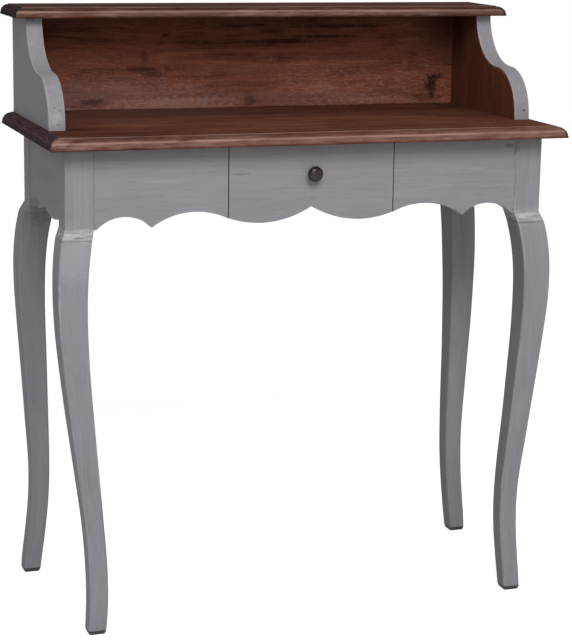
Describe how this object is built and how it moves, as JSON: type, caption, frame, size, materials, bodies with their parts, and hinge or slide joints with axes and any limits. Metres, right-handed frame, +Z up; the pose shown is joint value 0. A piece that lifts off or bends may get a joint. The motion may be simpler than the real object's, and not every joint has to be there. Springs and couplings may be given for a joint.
{
  "type": "writing desk",
  "caption": "Painted writing desk with curved legs, scalloped aprons, a centre drawer with a round knob, a stained wood top and a raised back shelf on ogee side brackets.",
  "frame": {"origin": "on the floor under the middle of the desk top", "axes": "+X to the sitter's right, +Y towards the raised shelf at the back, +Z up"},
  "size_m": [0.829, 0.372, 0.936],
  "materials": {
    "grey_paint": "brushed matt grey paint",
    "stained_wood": "satin dark stain",
    "bare_wood": "unfinished",
    "screw_steel": "zinc plated",
    "knob_metal": "dark bronzed",
    "foot_pad": "matt dark brown"
  },
  "bodies": {
    "frame": {"leg_front_left": "grey_paint", "leg_front_right": "grey_paint", "leg_back_left": "grey_paint", "leg_back_right": "grey_paint", "front_apron_left": "grey_paint", "front_apron_right": "grey_paint", "side_apron_left": "grey_paint", "side_apron_right": "grey_paint", "back_apron": "grey_paint", "hutch_side_left": "grey_paint", "hutch_side_right": "grey_paint", "desk_top": "stained_wood", "hutch_back_panel": "stained_wood", "top_shelf": "stained_wood", "corner_block_front_left": "bare_wood", "corner_block_front_right": "bare_wood", "corner_block_back_left": "bare_wood", "corner_block_back_right": "bare_wood", "case_dowels": "bare_wood", "drawer_partition_left": "bare_wood", "drawer_partition_right": "bare_wood", "drawer_runner_left": "bare_wood", "drawer_runner_right": "bare_wood", "drawer_stop_left": "bare_wood", "drawer_stop_right": "bare_wood", "hutch_dowels": "bare_wood", "shelf_dowels": "bare_wood", "top_screws": "screw_steel", "runner_screws": "screw_steel", "foot_pads": "foot_pad"},
    "drawer": {"drawer_front": "grey_paint", "drawer_side_left": "bare_wood", "drawer_side_right": "bare_wood", "drawer_back": "bare_wood", "drawer_bottom": "bare_wood", "drawer_knob": "knob_metal", "knob_screw": "screw_steel"}
  },
  "joints": [
    {"name": "drawer_slide", "type": "slide", "parent": "frame", "child": "drawer", "axis": [0, -1, 0], "range_m": [0, 0.17]}
  ]
}
